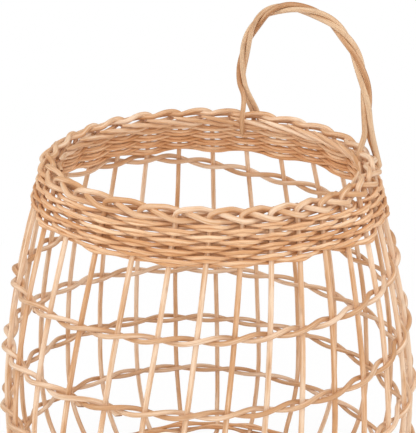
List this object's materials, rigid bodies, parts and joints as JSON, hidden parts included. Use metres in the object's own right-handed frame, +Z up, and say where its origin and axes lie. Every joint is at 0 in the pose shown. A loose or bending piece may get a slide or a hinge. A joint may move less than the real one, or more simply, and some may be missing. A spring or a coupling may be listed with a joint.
{
  "type": "openwork hanging basket",
  "caption": "Round pot-bellied basket of peeled willow rods: woven base, open body with spiral pairing, dense randed collar, rolled border and a twisted loop to hang it on a wall.",
  "frame": {"origin": "middle of the basket on the level it stands on", "axes": "+Z up the basket's axis, +Y towards the wall, where the loop stands, +X along the wall"},
  "size_m": [0.2859, 0.2856, 0.3743],
  "materials": {
    "willow": "peeled buff willow, matt with a faint sheen",
    "pale_willow": "peeled buff willow, a little paler, matt with a faint sheen",
    "dark_willow": "peeled buff willow, a little darker, matt"
  },
  "bodies": {
    "root": {"base_stick_1": "dark_willow", "base_stick_2": "dark_willow", "base_stick_3": "dark_willow", "base_stick_4": "dark_willow", "base_stick_5": "dark_willow", "base_stick_6": "dark_willow", "base_stick_7": "dark_willow", "base_stick_8": "dark_willow", "base_weaver_1": "willow", "base_weaver_2": "willow", "base_weaver_3": "willow", "stake_01": "willow", "stake_02": "willow", "stake_03": "willow", "stake_04": "willow", "stake_05": "willow", "stake_06": "willow", "stake_07": "willow", "stake_08": "willow", "stake_09": "willow", "stake_10": "willow", "stake_11": "willow", "stake_12": "willow", "stake_13": "willow", "stake_14": "willow", "stake_15": "willow", "stake_16": "willow", "stake_17": "willow", "stake_18": "willow", "stake_19": "willow", "stake_20": "willow", "stake_21": "willow", "stake_22": "willow", "stake_23": "willow", "stake_24": "willow", "stake_25": "willow", "stake_26": "willow", "stake_27": "willow", "stake_28": "willow", "stake_29": "willow", "upsett_weaver_1": "willow", "upsett_weaver_2": "willow", "pairing_a_1": "pale_willow", "pairing_a_2": "pale_willow", "pairing_a_3": "pale_willow", "pairing_a_4": "pale_willow", "pairing_a_5": "pale_willow", "pairing_b_1": "pale_willow", "pairing_b_2": "pale_willow", "pairing_b_3": "pale_willow", "pairing_b_4": "pale_willow", "pairing_b_5": "pale_willow", "collar_weaver_1": "willow", "collar_weaver_2": "willow", "collar_weaver_3": "willow", "collar_weaver_4": "willow", "loop_rod_right": "pale_willow", "loop_rod_left": "pale_willow", "loop_rod_middle": "pale_willow"}
  },
  "joints": []
}
